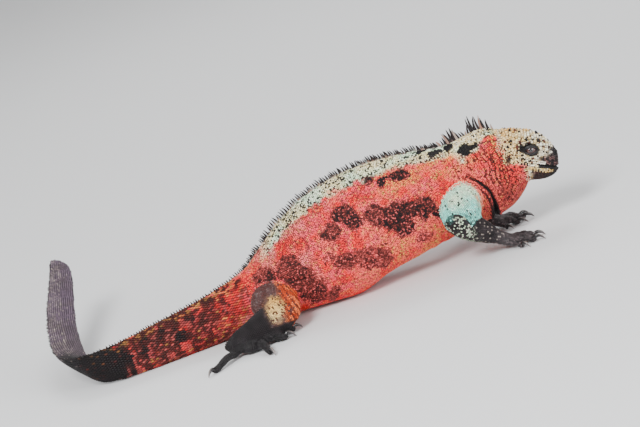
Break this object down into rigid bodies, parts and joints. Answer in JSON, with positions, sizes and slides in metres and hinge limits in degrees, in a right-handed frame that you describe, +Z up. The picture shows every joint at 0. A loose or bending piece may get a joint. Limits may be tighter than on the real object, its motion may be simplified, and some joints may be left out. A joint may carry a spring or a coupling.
{
  "type": "marine iguana",
  "caption": "Male marine iguana in red and green breeding colours, resting on its belly with its head and chest raised and the end of its tail curled away and up.",
  "frame": {"origin": "on the floor under the middle of the belly, in the flat that the belly rests on", "axes": "+X towards the snout, +Y to the animal's left, +Z up"},
  "size_m": [0.662, 0.465, 0.153],
  "materials": {
    "head": "cream and grey horny scales, speckled black, pinkish under the cheek",
    "neck": "red scaly skin with dark folds, a pale green strip under the nape crest",
    "torso": "red granular scales with black-brown blotches, a pale green strip under the dark crest",
    "tail": "red keeled scales in whorls with black bars and cream flecks",
    "tail_end": "slate and lilac keeled scales in rows",
    "upper_arm": "pale sea-green scales flecked with black",
    "forearm": "charcoal scales speckled grey-green",
    "hand": "black scaly skin with horn claws",
    "thigh": "cream and rust scales mottled black",
    "shank": "charcoal scales",
    "foot": "black scaly skin with horn claws",
    "eye": "dark, wet and glossy"
  },
  "bodies": {
    "root": {"head": "head", "neck": "neck", "torso": "torso", "tail_base": "tail", "tail_middle": "tail", "tail_rear": "tail", "tail_bend": "tail", "tail_turn": "tail_end", "tail_rise": "tail_end", "tail_tip": "tail_end", "upper_arm_right": "upper_arm", "upper_arm_left": "upper_arm", "forearm_right": "forearm", "forearm_left": "forearm", "hand_right": "hand", "hand_left": "hand", "thigh_right": "thigh", "thigh_left": "thigh", "shank_right": "shank", "shank_left": "shank", "foot_right": "foot", "foot_left": "foot", "eye_right": "eye", "eye_left": "eye"}
  },
  "joints": []
}
